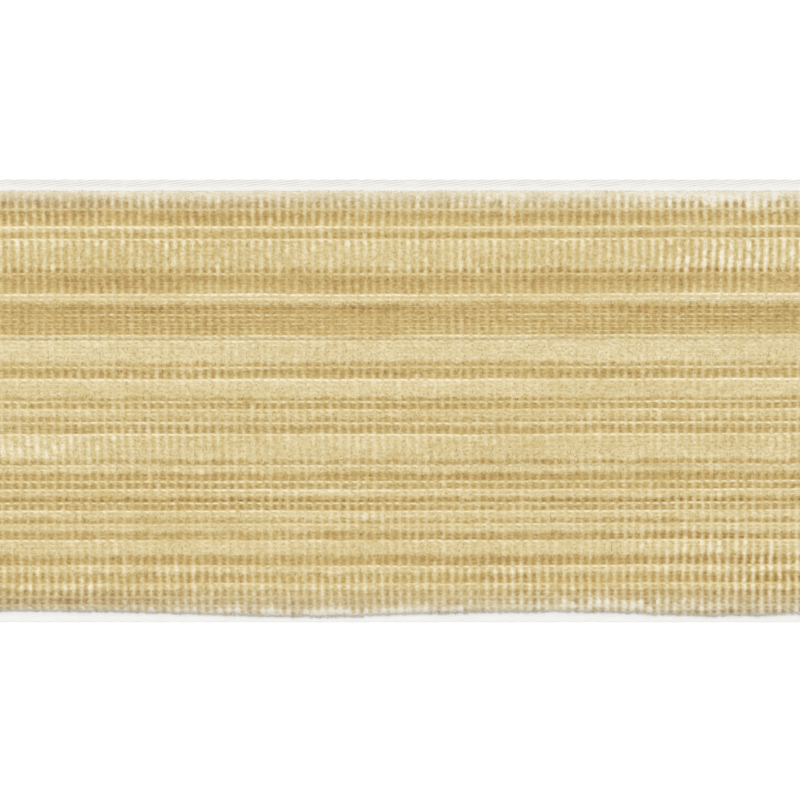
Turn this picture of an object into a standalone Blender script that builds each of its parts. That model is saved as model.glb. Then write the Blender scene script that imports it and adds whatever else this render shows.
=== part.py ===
"""Velvet tape trim: a straight cut length of woven pile ribbon that lies flat with its pile up.

Metres, +Z up. X runs along the tape and Y across it. The origin is the middle of the flat back.
"""

import math

import bmesh
import bpy

# Driving dimensions of the whole tape
LENGTH = 0.100
WIDTH = 0.038

# Section across the tape
SELVEDGE_WIDTH = 0.0011
SELVEDGE_THICKNESS = 0.0010
EDGE_ROUND = 0.0002
PILE_TOP = 0.0021
PILE_EDGE_DROP = 0.00035
PILE_EDGE_SLOPE = 0.0004
PARTING_FLANK = 0.0003
FLANK_SHARE = 0.5

# Steps along the tape, and how far the pile strays from true along it
STEP_LENGTH = 0.0025
CREST_STRAY = 0.00004
LINE_STRAY = 0.00009
STRAY_LENGTHS = (0.061, 0.023)

# The pile parts along the tape into bands. A band starts at a parting, where the pile opens,
# climbs a short steep flank, rises slowly to its crest and falls to the next parting.
# Columns: millimetres from the +Y edge to the parting and to the crest, and the parting's depth.
BANDS = (
    {"parting": 4.0, "crest": 4.5, "depth": 0.22},
    {"parting": 5.1, "crest": 7.6, "depth": 0.20},
    {"parting": 9.7, "crest": 10.4, "depth": 0.26},
    {"parting": 13.7, "crest": 15.6, "depth": 0.28},
    {"parting": 17.0, "crest": 18.6, "depth": 0.22},
    {"parting": 19.6, "crest": 20.3, "depth": 0.14},
    {"parting": 21.7, "crest": 23.9, "depth": 0.24},
    {"parting": 24.5, "crest": 25.0, "depth": 0.12},
    {"parting": 26.4, "crest": 27.0, "depth": 0.22},
    {"parting": 28.2, "crest": 28.8, "depth": 0.18},
    {"parting": 29.5, "crest": 30.0, "depth": 0.12},
    {"parting": 30.9, "crest": 32.1, "depth": 0.20},
    {"parting": 33.0, "crest": 33.6, "depth": 0.18},
    {"parting": 34.5, "crest": 35.1, "depth": 0.14},
)

MM = 0.001
TAPE_NAME = "velvet_tape"
PILE_COLOUR = (0.66, 0.52, 0.25, 1.0)
PILE_ROUGHNESS = 0.9


def clear_scene():
    for obj in list(bpy.data.objects):
        bpy.data.objects.remove(obj, do_unlink=True)


def velvet_material():
    material = bpy.data.materials.new("gold_velvet")
    material.use_nodes = True
    shader = material.node_tree.nodes["Principled BSDF"]
    shader.inputs["Base Color"].default_value = PILE_COLOUR
    shader.inputs["Roughness"].default_value = PILE_ROUGHNESS
    shader.inputs["Metallic"].default_value = 0.0
    return material


def selvedge_section():
    """(distance in from the edge, height, stray share) of the bare woven edge, flat on top."""
    return [
        (0.0, SELVEDGE_THICKNESS - EDGE_ROUND, 0.0),
        (EDGE_ROUND, SELVEDGE_THICKNESS, 0.0),
        (SELVEDGE_WIDTH, SELVEDGE_THICKNESS, 0.0),
    ]


def pile_edge_section():
    """The pile's side, which leans in a little, and its rounded shoulder."""
    foot = SELVEDGE_WIDTH
    shoulder = PILE_TOP - PILE_EDGE_DROP
    return [
        (foot + PILE_EDGE_SLOPE / 2, shoulder, 0.5),
        (foot + 2 * PILE_EDGE_SLOPE, PILE_TOP, 1.0),
    ]


def band_section():
    """The pile's top from the first parting to the last crest."""
    points = []
    for band in BANDS:
        parting = band["parting"] * MM
        crest = band["crest"] * MM
        depth = band["depth"] * MM
        points.append((parting, PILE_TOP - depth, 1.0))
        points.append((parting + PARTING_FLANK, PILE_TOP - depth * FLANK_SHARE, 1.0))
        points.append((crest, PILE_TOP, 1.0))
    return points


def whole_section():
    """Both edges with the bands between them, as (Y, height, stray share) from +Y to -Y."""
    edge = selvedge_section() + pile_edge_section()
    far_edge = [(WIDTH - inset, height, stray) for inset, height, stray in reversed(edge)]
    return [
        (WIDTH / 2 - inset, height, stray)
        for inset, height, stray in edge + band_section() + far_edge
    ]


def stray(x, row):
    """A slow wander along the tape: two sines, each row with a phase of its own."""
    long_wave, short_wave = STRAY_LENGTHS
    slow = math.sin(2 * math.pi * x / long_wave + 0.9 * row)
    quick = math.sin(2 * math.pi * x / short_wave + 2.3 * row)
    return (2 * slow + quick) / 3


def build_tape():
    section = whole_section()
    columns = round(LENGTH / STEP_LENGTH)
    rows = len(section) - 1
    bpy.ops.mesh.primitive_grid_add(x_subdivisions=columns, y_subdivisions=rows, size=1)
    tape = bpy.context.object
    tape.name = TAPE_NAME
    tape.data.name = TAPE_NAME

    top = bmesh.new()
    top.from_mesh(tape.data)
    for vertex in top.verts:
        row = round((0.5 - vertex.co.y) * rows)
        y, height, share = section[row]
        x = vertex.co.x * LENGTH
        vertex.co.x = x
        vertex.co.y = y + LINE_STRAY * share * stray(x, row // 3)
        vertex.co.z = height + CREST_STRAY * share * stray(x, row)

    # The rim goes down to the flat back, which is one face
    rim = [edge for edge in top.edges if edge.is_boundary]
    wall = bmesh.ops.extrude_edge_only(top, edges=rim)["geom"]
    for item in wall:
        if isinstance(item, bmesh.types.BMVert):
            item.co.z = 0.0
    back_rim = [edge for edge in top.edges if edge.is_boundary]
    bmesh.ops.contextual_create(top, geom=back_rim)
    bmesh.ops.recalc_face_normals(top, faces=top.faces)
    top.to_mesh(tape.data)
    top.free()

    tape.data.materials.append(velvet_material())
    tape.data.shade_smooth()
    tape.data.set_sharp_from_angle(angle=math.radians(40))
    return tape


def main():
    clear_scene()
    collection = bpy.data.collections.new("velvet_tape_trim")
    bpy.context.scene.collection.children.link(collection)
    tape = build_tape()
    for holder in list(tape.users_collection):
        holder.objects.unlink(tape)
    collection.objects.link(tape)


main()
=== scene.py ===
import bpy
import numpy as np
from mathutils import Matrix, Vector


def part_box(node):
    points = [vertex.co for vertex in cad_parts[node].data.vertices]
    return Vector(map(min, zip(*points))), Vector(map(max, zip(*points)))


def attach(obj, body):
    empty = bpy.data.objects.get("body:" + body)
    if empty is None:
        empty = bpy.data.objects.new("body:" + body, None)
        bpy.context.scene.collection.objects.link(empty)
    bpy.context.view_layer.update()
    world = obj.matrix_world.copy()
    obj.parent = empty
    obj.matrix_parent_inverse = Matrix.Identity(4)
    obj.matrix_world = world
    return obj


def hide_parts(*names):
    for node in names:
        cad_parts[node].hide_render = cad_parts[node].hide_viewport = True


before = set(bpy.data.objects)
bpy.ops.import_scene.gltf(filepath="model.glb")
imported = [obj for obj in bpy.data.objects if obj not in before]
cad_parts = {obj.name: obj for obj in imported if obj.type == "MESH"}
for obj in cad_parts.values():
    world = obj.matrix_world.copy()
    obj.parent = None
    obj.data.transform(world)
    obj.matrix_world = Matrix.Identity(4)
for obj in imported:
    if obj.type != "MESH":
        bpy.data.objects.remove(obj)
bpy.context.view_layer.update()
low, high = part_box("velvet_tape")
mm = 0.001
tape = {
    "length": (high[0] - low[0]) / mm,
    "width": (high[1] - low[1]) / mm,
    "selvedge": 1.1,
    "groundTop": 0.85,
    "pileTop": 2.0,
}
print("frame loaded:", tape)


# Numbers, noise and colour

def rgba(colour):
    return (float(colour[0]), float(colour[1]), float(colour[2]), 1.0)


def smoothStep(edge0, edge1, value):
    # Zero below edge0, one above edge1, with 3t^2 - 2t^3 between them
    t = np.clip((value - edge0) / (edge1 - edge0), 0.0, 1.0)
    return t * t * (3.0 - 2.0 * t)


def softNoise(x, s, stepX, stepS, seed):
    # Random values from -1 to 1 on a lattice of stepX by stepS, joined by smooth steps
    lattice = np.random.default_rng(seed).uniform(-1.0, 1.0, (1201, 701))
    u = x / stepX + 600.37
    v = s / stepS + 11.71
    i = np.floor(u).astype(int)
    j = np.floor(v).astype(int)
    mixU = smoothStep(0.0, 1.0, u - i)
    mixV = smoothStep(0.0, 1.0, v - j)
    i0, i1 = i % 1201, (i + 1) % 1201
    j0, j1 = j % 701, (j + 1) % 701
    near = lattice[i0, j0] * (1 - mixU) + lattice[i1, j0] * mixU
    far = lattice[i0, j1] * (1 - mixU) + lattice[i1, j1] * mixU
    return near * (1 - mixV) + far * mixV


# Chance in the pile and the ground. Columns: its strength, how far apart the places of its
# lattice lie along and across the tape in millimetres, and its seed.
chance = {
    "partings": (0.03, 9.0, 2.2, 3),
    "partingsFine": (0.03, 1.6, 1.1, 4),
    "rows": (0.10, 14.0, 4.0, 5),
    "rowsMiddle": (0.035, 2.5, 0.8, 6),
    "rowsFine": (0.035, 0.74, 0.4, 28),
    "slant": (0.5, 17.0, 5.0, 7),
    "light": (0.08, 13.0, 1.3, 8),
    "dark": (0.08, 11.0, 0.9, 9),
    "line": (0.21, 6.0, 1.0, 10),
    "spotTone": (0.9, 0.9, 0.5, 15),
    "tone": (0.05, 1.1, 0.5, 17),
    "farRim": (0.2, 1.3, 0.6, 18),
    "nearRim": (0.8, 0.8, 0.4, 23),
    "nearWaver": (0.05, 1.1, 1.0, 19),
    "crown": (0.04, 1.3, 1.0, 27),
    "height": (0.035, 0.8, 0.5, 21),
    "heightBroad": (0.03, 5.0, 1.5, 22),
    "rowClear": (0.2, 7.0, 1.5, 24),
    "endClear": (0.3, 5.0, 1.2, 25),
    "ragged": (0.13, 0.74, 0.6, 26),
    "threads": (0.6, 1.4, 0.2, 31),
}


def chanceAt(name, x, s):
    strength, stepX, stepS, seed = chance[name]
    return strength * softNoise(x, s, stepX, stepS, seed)


def bump(x, s, centreX, centreS, wideX, wideS):
    # A soft round patch: one at its centre, fading as a bell curve in both directions
    return np.exp(-(((x - centreX) / wideX) ** 2) - ((s - centreS) / wideS) ** 2)


def toLinear(screen):
    # Screen colour from 0 to 255, made the light value that the shader wants
    c = np.asarray(screen, float) / 255.0
    return np.where(c <= 0.04045, c / 12.92, ((c + 0.055) / 1.055) ** 2.4)


# Tone runs from painted shade deep in the pile to painted light on the fibres' sides; each stop gives the
# gold dye's colour at that tone
dyeAndPaintedLight = {
    "tone": [-0.2, 0.0, 0.25, 0.5, 0.75, 1.0, 1.2],  # from deep in the pile to the fibres' sides
    "screen": [(158, 122, 68), (181, 149, 93), (200, 175, 114), (214, 197, 149), (227, 214, 178),
               (244, 236, 215), (251, 245, 229)],
    "gain": 1.14,
}


# Meshes from arrays

def makeMesh(name, points, faces, slots, faceSlots, uvs, attributes=None):
    # faces is a list of arrays, each of faces with one number of corners; attributes gives for
    # each name its domain and its values, with four numbers for a colour and three for a vector
    mesh = bpy.data.meshes.new(name)
    corners = np.concatenate([part.reshape(-1) for part in faces]).astype(np.int32)
    counts = np.concatenate([np.full(len(part), part.shape[1]) for part in faces])
    starts = np.concatenate([[0], np.cumsum(counts)[:-1]]).astype(np.int32)
    mesh.vertices.add(len(points))
    mesh.vertices.foreach_set("co", (points * mm).astype(np.float32).reshape(-1))
    mesh.loops.add(len(corners))
    mesh.loops.foreach_set("vertex_index", corners)
    mesh.polygons.add(len(counts))
    mesh.polygons.foreach_set("loop_start", starts)
    mesh.update(calc_edges=True)
    mesh.polygons.foreach_set("material_index", faceSlots.astype(np.int32))
    mesh.polygons.foreach_set("use_smooth", np.ones(len(counts), bool))
    mesh.uv_layers.new(name="OFBake").data.foreach_set("uv", uvs.astype(np.float32).reshape(-1))
    for label, (domain, values) in (attributes or {}).items():
        kind, field = ("FLOAT_COLOR", "color") if values.shape[1] == 4 else ("FLOAT_VECTOR", "vector")
        layer = mesh.attributes.new(name=label, type=kind, domain=domain)
        layer.data.foreach_set(field, values.astype(np.float32).reshape(-1))
    for material in slots:
        mesh.materials.append(material)
    piece = bpy.data.objects.new(name, mesh)
    bpy.context.scene.collection.objects.link(piece)
    return piece


def slabFaces(rows, columns):
    # Quads of a grid that faces up, the rim's wall going down, and one face under it
    index = np.arange(rows * columns).reshape(rows, columns)
    a, b = index[:-1, :-1], index[:-1, 1:]
    c, d = index[1:, 1:], index[1:, :-1]
    top = np.stack([a, d, c, b], axis=-1).reshape(-1, 4)
    rim = np.concatenate([index[0, :-1], index[:-1, -1], index[-1, :0:-1], index[:0:-1, 0]])
    foot = rows * columns + np.arange(len(rim))
    wall = np.stack([rim, np.roll(rim, -1), np.roll(foot, -1), foot], axis=-1)
    return top, rim, wall, foot[None, :]


def slabMap(x, s, rim, top, topShare, underShare):
    # Flat map: the top above, the underside below it, the wall in a strip along the foot
    wide = (x - x.min()) / (x.max() - x.min()) * 0.98 + 0.01
    deep = (s.max() - s) / (s.max() - s.min())
    strip = 0.05
    topV = deep * (topShare - 0.02) + (1.0 - topShare) + 0.01
    underV = deep * (underShare - 0.02) + strip + 0.01
    along = np.arange(len(rim) + 1) / len(rim) * 0.98 + 0.01
    topUv = np.stack([wide, topV], axis=-1)[top.reshape(-1)]
    ahead, behind = along[1:], along[:-1]
    upper, lower = np.full(len(rim), strip - 0.01), np.full(len(rim), 0.005)
    wallUv = np.stack([behind, upper, ahead, upper, ahead, lower, behind, lower], axis=-1)
    underUv = np.stack([1.0 - wide[rim], underV[rim]], axis=-1)
    return np.concatenate([topUv, wallUv.reshape(-1, 2), underUv])


# The pile: where it parts, how its rows and ends stand, and how light each place is, in painted light and
# shade that stand in for the pile leaning towards or away from the key light.
# Its broad forms and tones are worked out here for each vertex; the material adds the fine ones.
# A band starts where the pile opens (start), climbs to its crest and falls to the next start.
# line, light, dark and rise are painted tones: the painted highlight at the start, the painted light on to
# the crest, the painted shade past it and at the end.
# rib says how clearly the rows show, by painted light in their gaps and painted shade on their crowns, and
# ends how clearly the pile ends show.
# A band whose crest is before its start doesn't open or climb: the pile ends only start anew.
pile = {
    "ribPitch": 0.740,
    "fan": 0.006,
    "ribDepth": 0.09,
    "endPitch": 0.385,
    "endDepth": 0.07,
    "flank": 0.3,
    "duskWide": 0.70,
    "overall": -0.045,
    "bow": 0.10,
    "slant": 0.07,
    "perRib": 4,
    "perEnd": 3,
    "endInset": 0.12,
    "endDrop": 0.22,
    "shoulder": 0.8,
    "farDrop": 0.45,
    "nearDrop": 0.70,
    "farGlow": 0.68,
    "farGlowWide": 0.62,
    "nearGlow": 0.42,
    "nearGlowWide": 0.45,
    "openWide": 0.5,
    "sharpness": 2.5,
    "zones": [1.16, 13.85, 24.5, 37.0],
    "footDepth": 0.08,
    "topMap": 0.85,
    "underMap": 0.09,
}
bandColumns = ("start", "crest", "depth", "line", "light", "dark", "rise", "rib", "ends")
bands = [dict(zip(bandColumns, row)) for row in (
    (1.10, 1.90, 0.00, 0.88, 0.42, 0.33, 0.33, 1.05, 0.2),
    (2.65, 2.75, 0.05, 0.50, 0.30, 0.20, 0.42, 0.60, 0.2),
    (4.18, 4.45, 0.20, 0.88, 0.50, 0.30, 0.30, 0.45, 0.3),
    (5.23, 7.70, 0.18, 0.79, 0.52, 0.31, 0.24, 1.05, 0.2),
    (8.18, 8.30, 0.06, 0.43, 0.30, 0.17, 0.45, 0.30, 0.5),
    (9.96, 10.48, 0.26, 0.87, 0.60, 0.17, 0.21, 0.08, 1.3),
    (11.66, 10.9, 0.00, 0.42, 0.20, 0.20, 0.31, 0.08, 1.3),
    (13.45, 13.6, 0.05, 0.65, 0.59, 0.56, 0.50, 0.10, 0.4),
    (13.88, 15.7, 0.28, 0.93, 0.61, 0.29, 0.29, 0.20, 0.5),
    (16.16, 16.3, 0.06, 0.61, 0.32, 0.20, 0.38, 0.40, 0.4),
    (17.22, 18.75, 0.22, 0.93, 0.58, 0.23, 0.30, 0.25, 0.4),
    (19.11, 19.2, 0.06, 0.67, 0.34, 0.26, 0.32, 0.40, 0.5),
    (19.80, 20.5, 0.12, 0.65, 0.50, 0.32, 0.34, 0.40, 0.6),
    (20.92, 21.1, 0.10, 0.73, 0.45, 0.27, 0.34, 0.45, 0.5),
    (21.93, 24.05, 0.24, 0.86, 0.55, 0.27, 0.32, 0.55, 0.4),
    (24.53, 25.1, 0.12, 0.78, 0.52, 0.17, 0.24, 0.40, 0.5),
    (25.93, 26.1, 0.10, 0.69, 0.36, 0.29, 0.30, 0.45, 0.4),
    (26.65, 27.3, 0.22, 0.82, 0.50, 0.08, 0.12, 0.45, 0.5),
    (27.77, 27.9, 0.08, 0.63, 0.34, 0.30, 0.32, 0.40, 0.4),
    (28.47, 29.1, 0.16, 0.76, 0.58, 0.29, 0.34, 0.35, 0.6),
    (29.58, 30.15, 0.12, 0.61, 0.53, 0.26, 0.27, 0.35, 0.6),
    (30.99, 32.1, 0.20, 0.74, 0.51, 0.14, 0.28, 0.40, 0.4),
    (33.15, 33.6, 0.18, 0.70, 0.54, 0.31, 0.34, 0.60, 0.3),
    (34.67, 35.1, 0.14, 0.54, 0.50, 0.34, 0.35, 0.70, 0.4),
    (35.78, 35.9, 0.06, 0.34, 0.34, 0.29, 0.31, 0.60, 0.4),
    (36.52, 36.8, 0.06, 0.46, 0.38, 0.36, 0.36, 0.80, 0.3),
)]
# Patches where the pile is paler or darker, or where its rows stand clearer
toneSpots = [
    {"x": 23.0, "s": 1.7, "wideX": 13.0, "wideS": 0.8, "pale": 0.15, "rib": 0.2},
    {"x": 28.5, "s": 2.1, "wideX": 4.0, "wideS": 0.8, "pale": 0.34, "rib": 0.4},
    {"x": 8.0, "s": 2.0, "wideX": 3.5, "wideS": 0.7, "pale": 0.20, "rib": 0.0},
    {"x": 30.0, "s": 6.9, "wideX": 7.0, "wideS": 1.3, "pale": 0.08, "rib": 1.0},
    {"x": -31.5, "s": 23.1, "wideX": 4.5, "wideS": 0.9, "pale": 0.18, "rib": 0.6},
    {"x": -6.0, "s": 26.8, "wideX": 4.5, "wideS": 0.16, "pale": 0.30, "rib": 0.0},
    {"x": 6.0, "s": 27.9, "wideX": 8.0, "wideS": 0.16, "pale": 0.18, "rib": 0.0},
    {"x": 30.0, "s": 33.2, "wideX": 7.0, "wideS": 3.0, "pale": 0.08, "rib": 0.9},
    {"x": -26.5, "s": 34.9, "wideX": 2.5, "wideS": 0.45, "pale": 0.20, "rib": 0.6},
    {"x": 9.5, "s": 34.0, "wideX": 1.8, "wideS": 1.3, "pale": 0.08, "rib": 0.7},
    {"x": -7.0, "s": 36.8, "wideX": 11.0, "wideS": 0.40, "pale": 0.50, "rib": 0.5},
    {"x": 19.0, "s": 36.3, "wideX": 11.0, "wideS": 0.30, "pale": 0.45, "rib": 0.6},
    {"x": -31.0, "s": 2.2, "wideX": 8.0, "wideS": 0.6, "pale": -0.14, "rib": 0.0},
    {"x": 20.0, "s": 2.2, "wideX": 12.0, "wideS": 0.6, "pale": 0.10, "rib": 0.0},
    {"x": -27.0, "s": 36.3, "wideX": 9.0, "wideS": 0.8, "pale": -0.18, "rib": 0.0},
    {"x": 2.0, "s": 36.7, "wideX": 7.0, "wideS": 0.45, "pale": 0.14, "rib": 0.0},
    {"x": 17.0, "s": 35.9, "wideX": 7.0, "wideS": 0.4, "pale": 0.12, "rib": 0.0},
    {"x": 29.0, "s": 36.7, "wideX": 8.0, "wideS": 0.4, "pale": -0.17, "rib": 0.0},
]


def column(name):
    return np.array([band[name] for band in bands])


def rowShift(x, s):
    # How far the rows stand from even spacing: a slight fan across the tape, and three wanders
    fan = pile["fan"] * x * (s - tape["width"] / 2) / (tape["width"] / 2)
    shift = fan + chanceAt("rows", x, s) + chanceAt("rowsMiddle", x, s)
    return shift + chanceAt("rowsFine", x, s)


def pileAt(x, s):
    # Height, tone and lie of the pile at places x, s, all by formula from the two tables
    shift = rowShift(x, s)
    ribPhase = (x + shift) / pile["ribPitch"]
    ribOut = np.abs(2.0 * (ribPhase - np.floor(ribPhase)) - 1.0)
    wander = chanceAt("partings", x, s) + chanceAt("partingsFine", x, s)
    wander = wander + pile["bow"] * smoothStep(-5.0, 38.0, x)
    slant = pile["slant"] * (0.7 + chanceAt("slant", x, s)) * (1.0 - x / 70.0)
    # Height of the bands: a short steep flank, a slow climb to the crest, and the fall after it
    starts = column("start")
    place = np.clip(s + wander, starts[0], tape["width"])
    nearest = np.argmin(np.abs(place[..., None] - starts[1:]), axis=-1) + 1
    endPhase = (place - starts[nearest]) / pile["endPitch"]
    endOut = np.abs(2.0 * (endPhase - np.floor(endPhase)) - 1.0)
    k = np.clip(np.searchsorted(starts, place, side="right") - 1, 0, len(starts) - 1)
    after = np.append(starts[1:], tape["width"] - tape["selvedge"])[k]
    nextDepth = np.append(column("depth")[1:], 0.1)[k]
    crest = column("crest")[k]
    climb = 0.5 * np.clip((place - starts[k]) / pile["flank"], 0, 1)
    climb = climb + 0.5 * np.clip((place - starts[k]) / (crest - starts[k]), 0, 1)
    fall = np.clip((place - crest) / (after - crest), 0, 1)
    height = tape["pileTop"] - column("depth")[k] * (1 - climb) - nextDepth * fall

    # Painted light and shade of the bands: the lit side, then painted shade past the crest (dusk), paler
    # again just before the next
    light = column("light")[k] + chanceAt("light", x, s)
    dark = column("dark")[k] + (column("rise") - column("dark"))[k] * fall ** 1.5
    dark = dark + chanceAt("dark", x, s)
    duskWide = np.minimum(pile["duskWide"], 0.6 * (after - crest))
    ragged = place + chanceAt("ragged", x, s) + 0.1
    # dusk is the share of painted shade past the crest
    dusk = smoothStep(0.0, 1.0, (ragged - crest) / duskWide)
    tone = light + (dark - light) * dusk + pile["overall"]
    lineTone = column("line")[nearest] + chanceAt("line", x, s)

    # How clearly rows and ends show, which sets the strength of their painted light and shade, with the
    # paler and darker patches
    opened = np.exp(-np.clip(place - starts[k], 0, None) / pile["openWide"])
    ribClear = column("rib")[k] * (0.6 + 0.8 * opened) + 0.35 * dusk + chanceAt("rowClear", x, s)
    spotTone = 0.0
    for spot in toneSpots:
        patch = bump(x, s, spot["x"], spot["s"], spot["wideX"], spot["wideS"])
        ribClear = ribClear + spot["rib"] * patch
        spotTone = spotTone + spot["pale"] * patch
    endClear = column("ends")[k] + chanceAt("endClear", x, s) + 0.5 * opened
    tone = tone + spotTone * (0.8 + chanceAt("spotTone", x, s))
    tone = tone + chanceAt("tone", x, s)

    # The pile's two sides: the far side, which faces the key light, is painted pale, a painted highlight;
    # the near side is paler in patches; both slope to their foot
    inFar = s - tape["selvedge"]
    inNear = tape["width"] - tape["selvedge"] - s
    ribClear = ribClear * smoothStep(-0.1, 0.9, inFar)
    farGlow = pile["farGlow"] * np.exp(-inFar / pile["farGlowWide"])
    tone = tone + farGlow * (0.85 + chanceAt("farRim", x, s))
    fuzz = 0.75 + chanceAt("nearRim", x, s)
    nearGlow = pile["nearGlow"] * np.exp(-(inNear + 0.1) / pile["nearGlowWide"])
    tone = tone + nearGlow * fuzz
    for inward, drop in ((inFar, pile["farDrop"]), (inNear + 0.1, pile["nearDrop"])):
        share = np.clip(inward / pile["shoulder"], 0.0, 1.0)
        height = height - drop * (1.0 - np.sqrt(1.0 - (1.0 - share) ** 2))
    fromEnd = tape["length"] / 2 - pile["endInset"] - np.abs(x)
    height = height - pile["endDrop"] * (1 - smoothStep(-0.1, 0.45, fromEnd))
    sharp = pile["sharpness"]
    height = height - pile["ribDepth"] * (0.35 + 0.65 * np.clip(ribClear, 0, 1)) * ribOut ** sharp
    height = height - pile["endDepth"] * (0.4 + 0.6 * np.clip(endClear, 0, 1)) * endOut ** sharp
    height = height + chanceAt("height", x, s) + chanceAt("heightBroad", x, s)
    clear = [np.clip(ribClear, 0.1, 2.2), np.clip(endClear, 0.05, 1.6)]
    return {
        "height": height,
        "dyeAndPaintedLight": np.stack([tone, clear[0], clear[1], 0.0 * tone], axis=-1),
        "nap": np.stack([wander, shift, slant], axis=-1),
        "line": np.stack([starts[nearest], lineTone, dusk], axis=-1),
        "lean": np.where(dusk < 0.5, 1.0, -0.8),
        "ribOut": ribOut,
    }


# Finishes

def newMaterial(name):
    material = bpy.data.materials.new(name)
    material.use_nodes = True
    tree = material.node_tree
    shader = tree.nodes["Principled BSDF"]
    return material, tree, shader


def addNode(tree, kind, inputs=None, **settings):
    node = tree.nodes.new(kind)
    for key, value in settings.items():
        setattr(node, key, value)
    for key, value in (inputs or {}).items():
        if isinstance(value, bpy.types.NodeSocket):
            tree.links.new(value, node.inputs[key])
        else:
            node.inputs[key].default_value = value
    return node


def objectNoise(tree, scale, detail, stretch=(1.0, 1.0, 1.0)):
    # Noise on Object coordinates, its grains stretched along the three axes
    place = addNode(tree, "ShaderNodeTexCoord")
    inputs = {"Vector": place.outputs["Object"], "Scale": stretch}
    stretched = addNode(tree, "ShaderNodeMapping", inputs)
    inputs = {"Vector": stretched.outputs["Vector"], "Scale": scale, "Detail": detail, "Roughness": 0.6}
    return addNode(tree, "ShaderNodeTexNoise", inputs).outputs["Fac"]


def spread(tree, value, lowest, highest):
    inputs = {"Value": value, "From Min": 0.3, "From Max": 0.7, "To Min": lowest, "To Max": highest}
    return addNode(tree, "ShaderNodeMapRange", inputs).outputs["Result"]


def setShader(shader, values):
    for key, value in values.items():
        shader.inputs[key].default_value = value


velvetFinish = {
    "gapFrom": 0.05,
    "gapTo": 0.90,
    "gapTone": 0.33,
    "gapLeast": 0.55,
    "gapSpread": 0.7,
    "patchFloor": -1.1,
    "patchSpread": 4.0,
    "duskGap": 0.10,
    "duskLift": -0.3,
    "crownTone": -0.19,
    "lineWide": 0.085,
    "haloWide": 0.25,
    "haloShare": 0.18,
    "lineQuiet": -0.75,
    "dashBase": 0.68,
    "dashSwing": 0.42,
    "dashGrain": 0.3,
    "dashTurn": -3.9,
    "endGapFrom": 0.45,
    "endGapTone": 0.26,
    "tuftTone": 0.045,
    "fineScale": 5200.0,
    "fineTone": 0.08,
    "middleScale": 2600.0,
    "middleTone": 0.11,
    "edgeGreyWide": (3.2, 1.2),
    "edgeGreyFade": -0.24,
    "edgeGreyDim": -0.07,
    "grain": 11000.0,
    "grainLow": 0.91,
    "grainHigh": 1.09,
    "shader": {
        "Roughness": 0.85,
        "Specular IOR Level": 0.25,
        "Sheen Weight": 0.25,
        "Sheen Roughness": 0.3,
        "Sheen Tint": (1.0, 0.87, 0.62, 1.0),
    },
}


def calc(tree, operation, *values):
    # One step of a formula: the operation on its values, which are sockets or numbers
    return addNode(tree, "ShaderNodeMath", dict(enumerate(values)), operation=operation).outputs[0]


def attributeParts(tree, name):
    # An attribute's three numbers, and its fourth
    source = addNode(tree, "ShaderNodeAttribute", attribute_name=name)
    parts = addNode(tree, "ShaderNodeSeparateXYZ", {"Vector": source.outputs["Vector"]})
    return [parts.outputs[i] for i in range(3)] + [source.outputs["Alpha"]]


def centredNoise(tree, scale, detail, stretch=(1.0, 1.0, 1.0)):
    # Noise from about -1 to 1
    return calc(tree, "MULTIPLY_ADD", objectNoise(tree, scale, detail, stretch), 4.0, -2.0)


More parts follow.
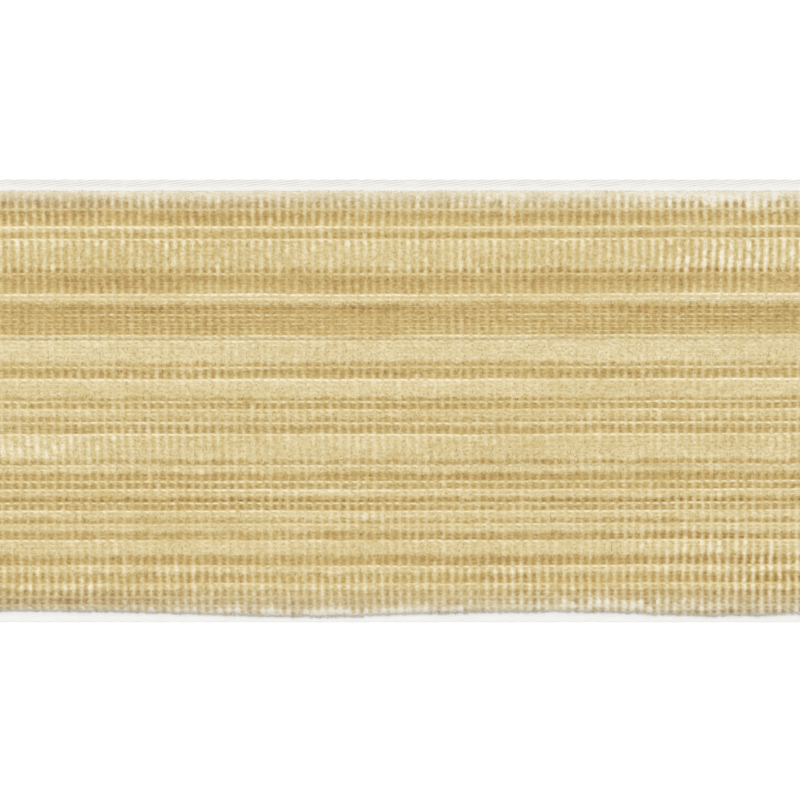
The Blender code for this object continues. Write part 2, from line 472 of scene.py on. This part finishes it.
def velvetTone(tree):
    # Tone of the pile at a point: the vertex's tone with the rows, the ends, the bright lines at the
    # partings and the grain of the tufts, worked out in millimetres; rows, ends and lines are painted
    # light and shade
    finish = velvetFinish
    tone, ribClear, endClear, ownShade = attributeParts(tree, "dyeAndPaintedLight")
    wander, shift, slant, _ = attributeParts(tree, "nap")
    line, lineTone, dusk, _ = attributeParts(tree, "line")
    coordinate = addNode(tree, "ShaderNodeTexCoord")
    axes = addNode(tree, "ShaderNodeSeparateXYZ", {"Vector": coordinate.outputs["Object"]})
    x = calc(tree, "DIVIDE", axes.outputs["X"], mm)
    s = calc(tree, "MULTIPLY_ADD", axes.outputs["Y"], -1 / mm, tape["width"] / 2)

    # Rows: u runs from 0 to 1 across a row; the gaps between rows get painted light and the crowns painted
    # shade
    phase = calc(tree, "DIVIDE", calc(tree, "ADD", x, shift), pile["ribPitch"])
    rib = calc(tree, "FLOOR", phase)
    u = calc(tree, "SUBTRACT", phase, rib)
    ribOut = calc(tree, "ABSOLUTE", calc(tree, "MULTIPLY_ADD", u, 2.0, -1.0))
    lean = calc(tree, "MULTIPLY", slant, calc(tree, "SUBTRACT", u, 0.5))
    place = calc(tree, "SUBTRACT", calc(tree, "ADD", s, wander), lean)
    endPhase = calc(tree, "DIVIDE", calc(tree, "SUBTRACT", place, line), pile["endPitch"])
    end = calc(tree, "FLOOR", endPhase)
    across = calc(tree, "MULTIPLY_ADD", calc(tree, "SUBTRACT", endPhase, end), 2.0, -1.0)
    endOut = calc(tree, "ABSOLUTE", across)

    # Chance: one number for each gap near each line, one for each tuft, and patches along each gap
    between = calc(tree, "FLOOR", calc(tree, "ADD", phase, 0.5))
    spot = addNode(tree, "ShaderNodeCombineXYZ", {"X": between, "Y": line})
    perGap = addNode(tree, "ShaderNodeTexWhiteNoise", {"Vector": spot.outputs["Vector"]})
    cell = addNode(tree, "ShaderNodeCombineXYZ", {"X": rib, "Y": end, "Z": line})
    tuft = addNode(tree, "ShaderNodeTexWhiteNoise", {"Vector": cell.outputs["Vector"]})
    perTuft = calc(tree, "MULTIPLY_ADD", tuft.outputs["Value"], 2.0, -1.0)
    stripe = addNode(tree, "ShaderNodeCombineXYZ", {"X": calc(tree, "MULTIPLY", between, 7.3), "Y": s})
    blotch = addNode(tree, "ShaderNodeTexNoise", {"Vector": stripe.outputs["Vector"], "Scale": 1.5})
    patch = calc(tree, "MULTIPLY_ADD", blotch.outputs["Fac"], finish["patchSpread"], finish["patchFloor"])
    patch = calc(tree, "MAXIMUM", patch, 0.0)
    fine = centredNoise(tree, finish["fineScale"], 1.0)
    middle = centredNoise(tree, finish["middleScale"], 1.0, (0.9, 1.9, 1.0))

    # Painted light in the gaps between rows, where the parted pile shows the fibres' lit sides; less of it
    # within the painted shade past a crest
    limits = {"Value": ribOut, "From Min": finish["gapFrom"], "From Max": finish["gapTo"]}
    gap = addNode(tree, "ShaderNodeMapRange", limits, interpolation_type="SMOOTHSTEP").outputs["Result"]
    gapShare = calc(tree, "MULTIPLY_ADD", perGap.outputs["Value"], finish["gapSpread"], finish["gapLeast"])
    gapClear = calc(tree, "MULTIPLY", gapShare, patch)
    gapLift = calc(tree, "MULTIPLY_ADD", dusk, finish["duskLift"] * finish["gapTone"], finish["gapTone"])
    gapTone = calc(tree, "MULTIPLY", calc(tree, "MULTIPLY", gap, gapClear), gapLift)
    gapTone = calc(tree, "MULTIPLY_ADD", calc(tree, "MULTIPLY", gap, dusk), finish["duskGap"], gapTone)
    # Painted shade on the crowns, where light is trapped among the fibre tips
    crown = calc(tree, "SUBTRACT", 1.0, calc(tree, "MULTIPLY", ribOut, ribOut))
    crownShare = calc(tree, "MULTIPLY_ADD", perTuft, 0.4, calc(tree, "MULTIPLY_ADD", dusk, 0.5, 0.8))
    crownTone = calc(tree, "MULTIPLY", calc(tree, "MULTIPLY", crown, crownShare), finish["crownTone"])
    rowTone = calc(tree, "MULTIPLY", calc(tree, "ADD", gapTone, crownTone), ribClear)

    # Dashes: each row's share of a painted highlight line, or of the painted light in a gap between ends,
    # rises and falls as a cosine
    turn = calc(tree, "COSINE", calc(tree, "MULTIPLY_ADD", u, 2 * np.pi, finish["dashTurn"]))
    dash = calc(tree, "MULTIPLY_ADD", middle, finish["dashGrain"], finish["dashBase"])
    dash = calc(tree, "MULTIPLY_ADD", turn, finish["dashSwing"], dash)
    limits = {"Value": endOut, "From Min": finish["endGapFrom"], "From Max": 1.0,
              "To Max": finish["endGapTone"]}
    endGap = addNode(tree, "ShaderNodeMapRange", limits, interpolation_type="SMOOTHSTEP").outputs["Result"]
    endTone = calc(tree, "MULTIPLY", calc(tree, "MULTIPLY_ADD", endGap, dash, -0.05), endClear)

    # Bright lines, painted highlights: a narrow glow and a wider halo round each parting
    fromLine = calc(tree, "ABSOLUTE", calc(tree, "SUBTRACT", place, line))
    narrow = calc(tree, "POWER", calc(tree, "DIVIDE", fromLine, finish["lineWide"]), 2.0)
    glow = calc(tree, "EXPONENT", calc(tree, "MULTIPLY", narrow, -1.0))
    halo = calc(tree, "EXPONENT", calc(tree, "DIVIDE", fromLine, -finish["haloWide"]))
    share = calc(tree, "MULTIPLY_ADD", glow, dash, calc(tree, "MULTIPLY", halo, finish["haloShare"]))
    brighter = calc(tree, "MAXIMUM", calc(tree, "SUBTRACT", lineTone, tone), 0.0)
    tone = calc(tree, "MULTIPLY_ADD", share, brighter, tone)

    quiet = calc(tree, "MULTIPLY_ADD", glow, finish["lineQuiet"], 1.0)
    tone = calc(tree, "MULTIPLY_ADD", calc(tree, "ADD", rowTone, endTone), quiet, tone)
    tone = calc(tree, "MULTIPLY_ADD", perTuft, finish["tuftTone"], tone)
    tone = calc(tree, "MULTIPLY_ADD", fine, finish["fineTone"], tone)
    tone = calc(tree, "MULTIPLY_ADD", middle, finish["middleTone"], tone)
    # ownShade: each fibre's own tone, with the painted light on fibres over the gaps
    return calc(tree, "ADD", tone, ownShade)


def velvetMaterial():
    # The colour for each tone, from the painted shade deep in the pile to the painted light on the fibres'
    # sides, with a grain as fine as the fibres
    material, tree, shader = newMaterial("gold_velvet_pile")
    lowest, highest = dyeAndPaintedLight["tone"][0], dyeAndPaintedLight["tone"][-1]
    limits = {"Value": velvetTone(tree), "From Min": lowest, "From Max": highest}
    scaled = addNode(tree, "ShaderNodeMapRange", limits)
    ramp = addNode(tree, "ShaderNodeValToRGB", {"Fac": scaled.outputs["Result"]})
    colours = toLinear(dyeAndPaintedLight["screen"]) * dyeAndPaintedLight["gain"]
    colours = colours / np.maximum(1.0, colours.max(axis=1, keepdims=True) / 0.95)
    while len(ramp.color_ramp.elements) < len(colours):
        ramp.color_ramp.elements.new(1.0)
    for stop, toneAt, colour in zip(ramp.color_ramp.elements, dyeAndPaintedLight["tone"], colours):
        stop.position = (toneAt - lowest) / (highest - lowest)
        stop.color = rgba(colour)
    grain = objectNoise(tree, velvetFinish["grain"], 3.0)
    factor = spread(tree, grain, velvetFinish["grainLow"], velvetFinish["grainHigh"])
    shaded = addNode(tree, "ShaderNodeVectorMath", {0: ramp.outputs["Color"]}, operation="SCALE")
    tree.links.new(factor, shaded.inputs["Scale"])

    # The outer rows are greyer and a little darker than the rest
    coordinate = addNode(tree, "ShaderNodeTexCoord")
    axes = addNode(tree, "ShaderNodeSeparateXYZ", {"Vector": coordinate.outputs["Object"]})
    outward = calc(tree, "DIVIDE", calc(tree, "ABSOLUTE", axes.outputs["Y"]), mm)
    start, end = [tape["width"] / 2 - inward for inward in velvetFinish["edgeGreyWide"]]
    limits = {"Value": outward, "From Min": start, "From Max": end}
    towardsEdge = addNode(tree, "ShaderNodeMapRange", limits).outputs["Result"]
    inputs = {
        "Color": shaded.outputs["Vector"],
        "Saturation": calc(tree, "MULTIPLY_ADD", towardsEdge, velvetFinish["edgeGreyFade"], 1.0),
        "Value": calc(tree, "MULTIPLY_ADD", towardsEdge, velvetFinish["edgeGreyDim"], 1.0),
    }
    greyer = addNode(tree, "ShaderNodeHueSaturation", inputs)
    tree.links.new(greyer.outputs["Color"], shader.inputs["Base Color"])
    relief = {"Height": grain, "Strength": 0.35, "Distance": 0.00004}
    nap = addNode(tree, "ShaderNodeBump", relief)
    tree.links.new(nap.outputs["Normal"], shader.inputs["Normal"])
    setShader(shader, velvetFinish["shader"])
    return material


weaveFinish = {
    "white": toLinear((253, 253, 252)),
    "shade": toLinear((222, 222, 216)),
    "threadPitch": 0.21,
    "threadSlope": 0.17,
    "threadStrip": (0.5, 0.75),
    "wallFade": 0.08,
    # nearShare is below farShare: painted light that whitens the near selvedge, which lies in the pile's
    # shadow
    "nearShare": 0.25,
    "farShare": 1.1,
    "grey": 0.32,
    "rootGold": toLinear((205, 178, 122)),
    "shader": {"Roughness": 0.8, "Specular IOR Level": 0.3, "Sheen Weight": 0.15},
}


def wave(tree, coordinate, pitch, phase=0.0):
    # Sine of a coordinate with the pitch given in millimetres, from -1 to 1
    turns = {0: coordinate, 1: 2 * np.pi / (pitch * mm), 2: phase}
    angle = addNode(tree, "ShaderNodeMath", turns, operation="MULTIPLY_ADD")
    return addNode(tree, "ShaderNodeMath", {0: angle.outputs[0]}, operation="SINE").outputs[0]


def selvedgeMaterial():
    # Off-white threads at a shallow slant, as thin darker lines; the strip by the pile is plain
    material, tree, shader = newMaterial("off_white_selvedge")
    coordinate = addNode(tree, "ShaderNodeTexCoord")
    axes = addNode(tree, "ShaderNodeSeparateXYZ", {"Vector": coordinate.outputs["Object"]})
    level = calc(tree, "MULTIPLY_ADD", axes.outputs["X"], -weaveFinish["threadSlope"], axes.outputs["Y"])
    wobble = calc(tree, "MULTIPLY", centredNoise(tree, 600.0, 2.0, (0.5, 1.0, 1.0)), 0.00004)
    lines = wave(tree, calc(tree, "ADD", level, wobble), weaveFinish["threadPitch"])
    broken = spread(tree, objectNoise(tree, 1500.0, 2.0, (0.3, 1.5, 1.0)), 0.1, 1.3)
    outward = calc(tree, "DIVIDE", calc(tree, "ABSOLUTE", axes.outputs["Y"]), mm)
    inward = calc(tree, "SUBTRACT", tape["width"] / 2, outward)
    start, end = weaveFinish["threadStrip"]
    limits = {"Value": inward, "From Min": start, "From Max": end, "To Min": 1.0, "To Max": 0.0}
    outer = addNode(tree, "ShaderNodeMapRange", limits).outputs["Result"]
    limits = {"Value": inward, "From Min": 0.0, "From Max": weaveFinish["wallFade"]}
    wall = addNode(tree, "ShaderNodeMapRange", limits).outputs["Result"]
    # Painted light: the near selvedge, in the pile's shadow, is painted whiter than the far one, with less
    # grey and fainter lines
    limits = {"Value": axes.outputs["Y"], "From Min": -mm, "From Max": mm,
              "To Min": weaveFinish["nearShare"], "To Max": weaveFinish["farShare"]}
    side = addNode(tree, "ShaderNodeMapRange", limits).outputs["Result"]
    share = calc(tree, "MULTIPLY", wall, side)
    clear = calc(tree, "MULTIPLY", calc(tree, "MULTIPLY", broken, outer), share)
    grey = calc(tree, "MULTIPLY", share, weaveFinish["grey"])
    limits = {"Value": lines, "From Min": -0.2, "From Max": 1.0, "To Min": grey,
              "To Max": calc(tree, "ADD", grey, calc(tree, "MAXIMUM", clear, 0.0))}
    dark = addNode(tree, "ShaderNodeMapRange", limits, interpolation_type="SMOOTHSTEP")
    mixed = addNode(tree, "ShaderNodeMix", {"Factor": dark.outputs["Result"]}, data_type="RGBA")
    mixed.inputs["A"].default_value = rgba(weaveFinish["white"])
    mixed.inputs["B"].default_value = rgba(weaveFinish["shade"])
    tree.links.new(mixed.outputs["Result"], shader.inputs["Base Color"])
    fine = objectNoise(tree, 14000.0, 2.0)
    relief = addNode(tree, "ShaderNodeBump", {"Height": fine, "Strength": 0.3, "Distance": 0.00003})
    tree.links.new(relief.outputs["Normal"], shader.inputs["Normal"])
    setShader(shader, weaveFinish["shader"])
    return material


def backMaterial():
    # Plain weave in off-white, with the gold roots of the pile showing in rows between the picks
    material, tree, shader = newMaterial("off_white_back_weave")
    place = addNode(tree, "ShaderNodeTexCoord")
    axes = addNode(tree, "ShaderNodeSeparateXYZ", {"Vector": place.outputs["Object"]})
    picks = wave(tree, axes.outputs["X"], pile["ribPitch"] / 2)
    rows = wave(tree, axes.outputs["X"], pile["ribPitch"], 0.6)
    ends = wave(tree, axes.outputs["Y"], pile["endPitch"])
    both = addNode(tree, "ShaderNodeMath", {0: rows, 1: ends}, operation="MULTIPLY")
    limits = {"Value": both.outputs[0], "From Min": 0.25, "From Max": 0.7, "To Min": 0.0, "To Max": 0.7}
    roots = addNode(tree, "ShaderNodeMapRange", limits)
    mixed = addNode(tree, "ShaderNodeMix", {"Factor": roots.outputs["Result"]}, data_type="RGBA")
    mixed.inputs["A"].default_value = rgba(weaveFinish["white"] * 0.93)
    mixed.inputs["B"].default_value = rgba(weaveFinish["rootGold"])
    tree.links.new(mixed.outputs["Result"], shader.inputs["Base Color"])
    crossed = addNode(tree, "ShaderNodeMath", {0: picks, 1: ends}, operation="MULTIPLY")
    relief = {"Height": crossed.outputs[0], "Strength": 0.5, "Distance": 0.00003}
    cloth = addNode(tree, "ShaderNodeBump", relief)
    tree.links.new(cloth.outputs["Normal"], shader.inputs["Normal"])
    setShader(shader, weaveFinish["shader"])
    return material


velvet = velvetMaterial()
selvedgeWeave = selvedgeMaterial()
backWeave = backMaterial()
print("finishes made")


# The woven ground, with its two bare selvedges
ground = {
    "step": 0.2,
    "selvedgeRows": 17,
    "edgeTop": 0.70,
    "edgeRound": 0.08,
    "threadRise": 0.012,
    "topMap": 0.5,
    "underMap": 0.44,
}


def groundHeight(x, s):
    # Flat strip with slanted threads, a smooth rise beside the pile, and a rounded outer edge
    inward = np.minimum(s, tape["width"] - s)
    rise = smoothStep(0.5, 0.95, inward) * (tape["groundTop"] - ground["edgeTop"])
    turn = (s + weaveFinish["threadSlope"] * x) / weaveFinish["threadPitch"]
    broken = 0.6 + chanceAt("threads", x, s)
    threads = ground["threadRise"] * np.sin(2 * np.pi * turn) * broken
    threads = threads * smoothStep(0.0, 0.15, inward) * (1 - smoothStep(0.5, 0.7, inward))
    roundOff = np.sqrt(np.clip(1 - (1 - np.clip(inward / ground["edgeRound"], 0, 1)) ** 2, 0, 1))
    return ground["edgeTop"] - ground["edgeRound"] * (1 - roundOff) + rise + threads


def buildGround():
    columns = round(tape["length"] / ground["step"]) + 1
    along = np.linspace(-tape["length"] / 2, tape["length"] / 2, columns)
    edge = np.linspace(0.0, tape["selvedge"] + 0.15, ground["selvedgeRows"])
    middle = np.linspace(edge[-1], tape["width"] - edge[-1], 5)[1:-1]
    across = np.concatenate([edge, middle, tape["width"] - edge[::-1]])
    s, x = np.meshgrid(across, along, indexing="ij")
    s, x = s.reshape(-1), x.reshape(-1)
    top, rim, wall, under = slabFaces(len(across), columns)
    y = tape["width"] / 2 - s
    upper = np.stack([x, y, groundHeight(x, s)], axis=-1)
    lower = np.stack([x[rim], y[rim], np.zeros(len(rim))], axis=-1)
    uvs = slabMap(x, s, rim, top, ground["topMap"], ground["underMap"])
    faceSlots = np.concatenate([np.zeros(len(top) + len(wall)), [1]])
    parts = [top, wall, under]
    return makeMesh("tape_ground", np.concatenate([upper, lower]), parts,
                    [selvedgeWeave, backWeave], faceSlots, uvs)


groundPiece = buildGround()
print("ground:", len(groundPiece.data.polygons), "faces")


# The pile's body, in three strips that meet at partings

# Bulges of the near side: place along the tape, width and reach. "all" moves the whole side.
waver = {
    "bulges": [(-8.0, 12.0, 0.46), (27.0, 9.0, 0.36)],
    "all": -0.12,
    "crown": 0.07,
}


def edgeWaver(x, s):
    # The pile's near side wavers along the tape, by up to half a millimetre, and on both sides
    # each row stands out a little, as a parabola across the row
    near = 1.0 - smoothStep(0.0, 1.6, pile["zones"][-1] - s)
    broad = waver["all"]
    for place, wide, reach in waver["bulges"]:
        broad = broad + reach * np.exp(-((x - place) / wide) ** 2)
    phase = (x + rowShift(x, s)) / pile["ribPitch"]
    crown = 1.0 - (2.0 * (phase - np.floor(phase)) - 1.0) ** 2
    crown = crown * (waver["crown"] + chanceAt("crown", x, 0.0 * s))
    far = 1.0 - smoothStep(0.0, 0.7, s - pile["zones"][0])
    return near * (broad + crown + chanceAt("nearWaver", x, 0.0 * s)) - far * crown


def buildPileStrip(name, sFrom, sTo):
    columns = round(tape["length"] / pile["ribPitch"] * pile["perRib"]) + 1
    rows = round((sTo - sFrom) / pile["endPitch"] * pile["perEnd"]) + 1
    reach = tape["length"] / 2 - pile["endInset"]
    along = np.linspace(-reach, reach, columns)
    across = np.linspace(sFrom, sTo, rows)
    s, x = np.meshgrid(across, along, indexing="ij")
    s, x = s.reshape(-1), x.reshape(-1)
    here = pileAt(x, s)
    top, rim, wall, under = slabFaces(rows, columns)
    y = tape["width"] / 2 - s - edgeWaver(x, s)
    upper = np.stack([x, y, here["height"]], axis=-1)
    foot = np.full(len(rim), tape["groundTop"] - pile["footDepth"])
    lower = np.stack([x[rim], y[rim], foot], axis=-1)
    uvs = slabMap(x, s, rim, top, pile["topMap"], pile["underMap"])
    toneAndFootShade, nap, line = [np.concatenate([here[part], here[part][rim]]) for part in ("dyeAndPaintedLight", "nap", "line")]
    # At the wall's foot the rows and ends fade and the tone drops by 0.1: painted shade where the wall
    # meets the ground
    toneAndFootShade[len(x):] = toneAndFootShade[len(x):] * np.array([1.0, 0.2, 0.2, 1.0]) - np.array([0.1, 0.0, 0.0, 0.0])
    firstCorners = np.concatenate([top[:, 0], wall[:, 0], under[:, 0]])
    onFaces = line[firstCorners]
    onFaces[len(top):, 1] = -1.0
    attributes = {"dyeAndPaintedLight": ("POINT", toneAndFootShade), "nap": ("POINT", nap), "line": ("FACE", onFaces)}
    return makeMesh(name, np.concatenate([upper, lower]), [top, wall, under],
                    [velvet], np.zeros(len(firstCorners)), uvs, attributes)


pilePieces = []
for number, (sFrom, sTo) in enumerate(zip(pile["zones"][:-1], pile["zones"][1:])):
    pilePieces.append(buildPileStrip(f"pile_strip_{number + 1}", sFrom, sTo))
    print(pilePieces[-1].name, len(pilePieces[-1].data.polygons), "faces")


# The cut ends of the fibres: slim pyramids that stand out of the pile, several for each tuft,
# with more on the pile's two sides and on its two cut ends
fibre = {
    "perTuft": 10,
    "radius": 0.05,
    "below": 0.07,
    "above": 0.11,
    "reach": 0.20,
    "splay": 0.35,
    "stray": 0.045,
    "spreadX": 0.225,
    "sidePerMm": 56,
    "endPerMm": 40,
    "sideReach": 0.12,
    "toneSpread": 0.06,
    "shade": -0.05,
    # gapPaintedLight: painted light on fibres over the gaps between rows
    "gapPaintedLight": 0.13,
    "pieces": 4,
    "blurRow": 0.055,
    "blurEnd": 0.028,
}


def topFibres(rng):
    # Roots gathered round each tuft's crown. A tip moves by the band's lean, and away from the
    # middle of its row, so that the rows splay; its tone is that of the place it covers.
    ribs = int(tape["length"] / pile["ribPitch"]) + 1
    first = pile["zones"][0] + 0.06
    ends = int((pile["zones"][-1] - first) / pile["endPitch"])
    grid = np.meshgrid(np.arange(ribs), np.arange(ends), np.arange(fibre["perTuft"]), indexing="ij")
    rib, end = grid[0].reshape(-1) - ribs // 2, grid[1].reshape(-1)
    offset = rng.normal(0.0, fibre["spreadX"], rib.shape)
    x = (rib + 0.5) * pile["ribPitch"] + offset
    s = first + (end + rng.uniform(0.0, 1.0, rib.shape)) * pile["endPitch"]
    inside = np.abs(x) < tape["length"] / 2 - 0.12
    x, s, offset = x[inside], s[inside], offset[inside]
    x = x - rowShift(x, s)
    here = pileAt(x, s)
    height = here["height"]
    side = fibre["splay"] * offset + rng.normal(0.0, fibre["stray"], x.shape)
    reach = fibre["reach"] * here["lean"] * rng.uniform(0.5, 1.3, x.shape)
    reach = reach + rng.normal(0.0, fibre["stray"], x.shape)
    up = fibre["above"] * rng.uniform(0.3, 1.2, x.shape)
    covered = pileAt(x + 0.6 * side, s + 0.6 * reach)["height"]
    root = np.stack([x, s, height - fibre["below"]], axis=-1)
    tip = np.stack([x + side, s + reach, np.maximum(covered, height - 0.05) + up], axis=-1)
    return root, tip, 0.0 * x


def sideFibres(rng):
    # On the two long sides: from the wall outwards over the selvedge and a little up
    count = int(2 * tape["length"] * fibre["sidePerMm"])
    far = rng.uniform(size=count) < 0.5
    x = rng.uniform(-0.5, 0.5, count) * (tape["length"] - 0.3)
    inset = rng.uniform(0.0, 0.1, count)
    s = np.where(far, pile["zones"][0] + inset, pile["zones"][-1] - inset)
    height = pileAt(x, s)["height"]
    z = tape["groundTop"] + (height - tape["groundTop"]) * rng.uniform(0.0, 1.0, count)
    out = fibre["sideReach"] * rng.uniform(0.3, 1.3, count) * np.where(far, -1.0, 1.8)
    rise = rng.uniform(0.0, 0.16, count)
    side = rng.normal(0.0, 0.05, count)
    root = np.stack([x, s - 0.3 * out, z], axis=-1)
    tip = np.stack([x + side, s + out, z + rise], axis=-1)
    return root, tip, np.where(far, 0.0, rng.uniform(0.45, 0.95, count))


def endFibres(rng):
    # On the two cut ends: short, standing out past the cut, with painted shade towards the ground
    count = int(2 * tape["width"] * fibre["endPerMm"])
    way = np.where(rng.uniform(size=count) < 0.5, -1.0, 1.0)
    s = rng.uniform(pile["zones"][0] + 0.15, pile["zones"][-1] - 0.15, count)
    x = way * (tape["length"] / 2 - pile["endInset"])
    height = pileAt(x, s)["height"]
    share = rng.uniform(0.0, 1.0, count)
    z = tape["groundTop"] + (height - tape["groundTop"] + 0.05) * share
    out = way * rng.uniform(0.03, 0.16, count)
    root = np.stack([x - way * 0.06, s, z], axis=-1)
    tip = np.stack([x + out, s + rng.normal(0.0, 0.06, count), z + rng.uniform(0.02, 0.2, count)], axis=-1)
    return root, tip, 0.25 * share - 0.25


def buildFibres(name, root, tip, toneShift, rng):
    # Each fibre is three corners round its root and one at its tip. It takes the tone of the
    # pile that it covers, a little astray, which blurs the edges of rows and lines. Fibres over
    # the gaps between rows get painted light.
    count = len(root)
    middle = 0.4 * root + 0.6 * tip
    here = pileAt(middle[:, 0], np.clip(middle[:, 1], pile["zones"][0], pile["zones"][-1]))
    # Painted light: fibres nearer a gap between rows are made paler, for the lit sides of parted fibres
    shade = fibre["shade"] + fibre["gapPaintedLight"] * here["ribOut"] ** 2
    here["dyeAndPaintedLight"][:, 3] = toneShift + shade + rng.normal(0.0, fibre["toneSpread"], count)
    here["line"][root[:, 2] < here["height"] - 0.2, 1] = -1.0
    here["nap"][:, 0] += rng.normal(0.0, fibre["blurEnd"], count)
    here["nap"][:, 1] += rng.normal(0.0, fibre["blurRow"], count)
    flip = np.array([1.0, -1.0, 1.0])
    root = root * flip + np.array([0.0, tape["width"] / 2, 0.0])
    tip = tip * flip + np.array([0.0, tape["width"] / 2, 0.0])
    waver = np.stack([0.0 * root[:, 0], edgeWaver(middle[:, 0], middle[:, 1]), 0.0 * root[:, 0]], axis=-1)
    root, tip = root - waver, tip - waver
    along = tip - root
    along = along / np.linalg.norm(along, axis=1)[:, None]
    across = np.cross(along, rng.normal(size=(count, 3)))
    across = across / np.linalg.norm(across, axis=1)[:, None]
    third = np.cross(along, across)
    angle = np.arange(3) * 2 * np.pi / 3
    ring = np.cos(angle)[None, :, None] * across[:, None] + np.sin(angle)[None, :, None] * third[:, None]
    points = np.concatenate([root[:, None] + fibre["radius"] * ring, tip[:, None]], axis=1)
    base = 4 * np.arange(count)[:, None, None]
    faces = base + np.array([[0, 1, 3], [1, 2, 3], [2, 0, 3], [2, 1, 0]])
    attributes = {"dyeAndPaintedLight": ("POINT", np.repeat(here["dyeAndPaintedLight"], 4, axis=0)),
                  "nap": ("POINT", np.repeat(here["nap"], 4, axis=0)),
                  "line": ("FACE", np.repeat(here["line"], 4, axis=0))}

    # Map: each fibre has a cell of its own, with its four faces in the cell's quarters
    wide = int(np.ceil(np.sqrt(count)))
    cell = np.stack([np.arange(count) % wide, np.arange(count) // wide], axis=-1) / wide
    quarter = np.array([[0.0, 0.0], [0.5, 0.0], [0.0, 0.5], [0.5, 0.5]])
    corner = np.array([[0.04, 0.04], [0.46, 0.04], [0.25, 0.46]])
    inCell = (quarter[:, None] + corner[None]) / wide
    uvs = (cell[:, None, None] + inCell[None]).reshape(-1, 2)
    return makeMesh(name, points.reshape(-1, 3), [faces.reshape(-1, 3)], [velvet],
                    np.zeros(4 * count), uvs, attributes)


def buildAllFibres():
    rng = np.random.default_rng(40)
    groups = [topFibres(rng), sideFibres(rng), endFibres(rng)]
    root, tip, toneShift = [np.concatenate(parts) for parts in zip(*groups)]
    order = np.argsort(root[:, 1], kind="stable")
    cuts = np.linspace(0, len(order), fibre["pieces"] + 1).astype(int)
    made = []
    for number, (a, b) in enumerate(zip(cuts[:-1], cuts[1:])):
        part = order[a:b]
        name = f"pile_fibres_{number + 1}"
        made.append(buildFibres(name, root[part], tip[part], toneShift[part], rng))
    return made


fibrePieces = buildAllFibres()
print("fibres:", sum(len(p.data.polygons) for p in fibrePieces), "faces")


# What each piece rides on and stands for
for piece in [groundPiece] + pilePieces + fibrePieces:
    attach(piece, "root")
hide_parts("velvet_tape")
for piece in pilePieces:
    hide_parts("velvet_tape")


# Floor, light and camera
studio = {
    "floorSide": 3.0,
    "floorWhite": 0.93,
    "floorGlow": 0.35,
    "skyStrength": 0.56,
    "keyPlace": (-0.05, 0.13, 0.70),
    "keySize": 0.30,
    "keyPower": 2.2,
    "frameWidth": 0.06854,
    "cameraHeight": 0.45,
    "sensor": 36.0,
    "centreY": 0.00006,
}


def buildFloor():
    bpy.ops.mesh.primitive_plane_add(size=studio["floorSide"])
    floor = bpy.context.object
    floor.name = "studio_floor"
    material, _, shader = newMaterial("pale_floor")
    white = studio["floorWhite"]
    setShader(shader, {
        "Base Color": (white, white, white, 1.0),
        "Roughness": 0.9,
        "Specular IOR Level": 0.1,
        "Emission Color": (1.0, 1.0, 1.0, 1.0),
        "Emission Strength": studio["floorGlow"],
    })
    floor.data.materials.append(material)


def buildLight():
    world = bpy.data.worlds.new("studio_sky")
    bpy.context.scene.world = world
    world.use_nodes = True
    sky = world.node_tree.nodes["Background"]
    sky.inputs["Color"].default_value = (1.0, 1.0, 1.0, 1.0)
    sky.inputs["Strength"].default_value = studio["skyStrength"]
    lamp = bpy.data.lights.new("key_light", "AREA")
    lamp.shape = "SQUARE"
    lamp.size = studio["keySize"]
    lamp.energy = studio["keyPower"]
    key = bpy.data.objects.new("key_light", lamp)
    key.location = studio["keyPlace"]
    bpy.context.scene.collection.objects.link(key)
    aim(key, (0.0, 0.0, 0.0))


def aim(thing, target):
    # Turns the thing's -Z towards the target
    way = np.array(target) - np.array(thing.location)
    flat = np.hypot(way[0], way[1])
    tilt = np.arctan2(flat, -way[2])
    turn = np.arctan2(way[1], way[0]) - np.pi / 2
    thing.rotation_euler = (tilt, 0.0, turn if flat > 1e-9 else 0.0)


def buildCamera():
    lens = bpy.data.cameras.new("camera")
    lens.sensor_width = studio["sensor"]
    lens.lens = studio["sensor"] * studio["cameraHeight"] / studio["frameWidth"]
    lens.clip_start = 0.01
    lens.clip_end = 10.0
    camera = bpy.data.objects.new("camera", lens)
    camera.location = (0.0, studio["centreY"], studio["cameraHeight"] + ground["edgeTop"] * mm)
    bpy.context.scene.collection.objects.link(camera)
    bpy.context.scene.camera = camera


buildFloor()
buildLight()
buildCamera()
bpy.context.scene.view_settings.view_transform = "Standard"
print("studio ready")
